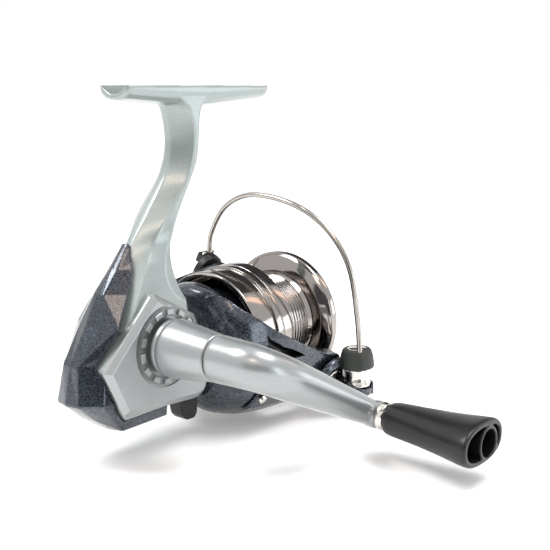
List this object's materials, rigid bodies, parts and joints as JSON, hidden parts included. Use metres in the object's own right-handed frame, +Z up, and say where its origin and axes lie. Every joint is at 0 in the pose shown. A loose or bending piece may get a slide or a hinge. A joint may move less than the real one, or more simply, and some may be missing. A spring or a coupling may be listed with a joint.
{
  "type": "spinning reel",
  "caption": "Fishing spinning reel: foot and stem over a gear housing, crank handle with a flared knob, rotor with a wire bail and line roller, and a spool on a sliding shaft.",
  "frame": {"origin": "centre of the flat strip along the top of the foot, where the reel sits on the rod", "axes": "+Z up towards the rod, +Y forward along the spool axis, +X towards the handle"},
  "size_m": [0.1387, 0.1186, 0.1153],
  "materials": {
    "pearl_paint": "pearl silver paint, semi-gloss",
    "silver_paint": "silver paint, semi-gloss",
    "flake_paint": "dark blue-grey metallic paint",
    "spool_metal": "polished, gunmetal anodised",
    "bright_nickel": "polished nickel",
    "plain_steel": "ground",
    "gear_brass": "machined",
    "gear_zinc": "die cast",
    "black_plastic": "satin black",
    "knob_black": "satin black",
    "cap_rubber": "dull grey-green",
    "drag_felt": "pressed felt and discs"
  },
  "bodies": {
    "frame": {"body_casting": "pearl_paint", "side_plate": "silver_paint", "rear_cover": "flake_paint", "dial_ring": "silver_paint", "housing_screw_1": "plain_steel", "housing_screw_2": "plain_steel", "housing_screw_3": "plain_steel", "drive_bearing_left": "plain_steel", "drive_bearing_right": "plain_steel", "pinion_bearing": "plain_steel", "anti_reverse_clutch": "gear_brass", "slider_guide_rod": "plain_steel", "oscillation_pin": "plain_steel"},
    "handle": {"handle_shank": "silver_paint", "handle_arm": "silver_paint", "knob_collar": "bright_nickel", "knob_pin": "plain_steel", "handle_screw_cap": "silver_paint", "drive_shaft": "plain_steel", "drive_gear": "gear_zinc", "oscillation_drive_gear": "gear_brass"},
    "knob": {"knob": "knob_black"},
    "rotor": {"rotor": "flake_paint", "rotor_nut": "plain_steel", "pinion": "gear_brass", "arm_cover_handle_side": "flake_paint", "arm_cover_far_side": "flake_paint", "bail_pivot_screw": "bright_nickel", "bail_holder_screw": "bright_nickel", "balance_screw": "bright_nickel", "bail_spring": "plain_steel"},
    "oscillation": {"oscillation_gear": "gear_zinc"},
    "shaft": {"main_shaft": "plain_steel", "oscillation_slider": "gear_zinc", "click_gear": "black_plastic"},
    "spool": {"spool_skirt": "spool_metal", "spool_arbor": "spool_metal", "spool_lip": "spool_metal", "spool_hub_bush": "black_plastic", "drag_washers": "drag_felt", "line_clip": "black_plastic"},
    "drag": {"drag_knob": "black_plastic", "drag_spring": "plain_steel"},
    "bail": {"bail_lever": "flake_paint", "bail_wire": "bright_nickel", "bail_holder": "black_plastic", "roller_cap": "cap_rubber", "roller_screw": "plain_steel", "roller_bush": "black_plastic", "wire_clamp_screw_1": "bright_nickel", "wire_clamp_screw_2": "bright_nickel"},
    "roller": {"line_roller": "bright_nickel"},
    "anti_reverse": {"anti_reverse_lever": "black_plastic"}
  },
  "joints": [
    {"name": "handle_turn", "type": "hinge", "parent": "frame", "child": "handle", "pos_m": [0, -0.0267, -0.0786], "axis": [1, 0, 0], "continuous": true},
    {"name": "knob_spin", "type": "hinge", "parent": "handle", "child": "knob", "pos_m": [0.086, 0.0185, -0.103], "axis": [1, 0, 0], "continuous": true},
    {"name": "rotor_turn", "type": "hinge", "parent": "frame", "child": "rotor", "pos_m": [0, 0, -0.0856], "axis": [0, 1, 0], "continuous": true},
    {"name": "oscillation_turn", "type": "hinge", "parent": "frame", "child": "oscillation", "pos_m": [-0.006, -0.03575, -0.08765], "axis": [1, 0, 0], "continuous": true},
    {"name": "shaft_slide", "type": "slide", "parent": "frame", "child": "shaft", "axis": [0, 1, 0], "range_m": [0, 0.0124]},
    {"name": "spool_turn", "type": "hinge", "parent": "shaft", "child": "spool", "pos_m": [0, 0.03, -0.0856], "axis": [0, 1, 0], "continuous": true},
    {"name": "drag_turn", "type": "hinge", "parent": "shaft", "child": "drag", "pos_m": [0, 0.05, -0.0856], "axis": [0, 1, 0], "range_deg": [-360, 360]},
    {"name": "bail_open", "type": "hinge", "parent": "rotor", "child": "bail", "pos_m": [0, 0.0384, -0.0856], "axis": [-0.8829, 0, 0.4695], "range_deg": [0, 105]},
    {"name": "roller_spin", "type": "hinge", "parent": "bail", "child": "roller", "pos_m": [0.03669, 0.046, -0.10233], "axis": [-0.0349, 0, 0.9994], "continuous": true},
    {"name": "anti_reverse_flip", "type": "hinge", "parent": "frame", "child": "anti_reverse", "pos_m": [0, -0.0138, -0.0943], "axis": [0, 1, 0], "range_deg": [0, 25]}
  ],
  "couplings": [
    {"joint": "rotor_turn", "follows": "handle_turn", "ratio": -5},
    {"joint": "oscillation_turn", "follows": "handle_turn", "ratio": -0.6}
  ]
}
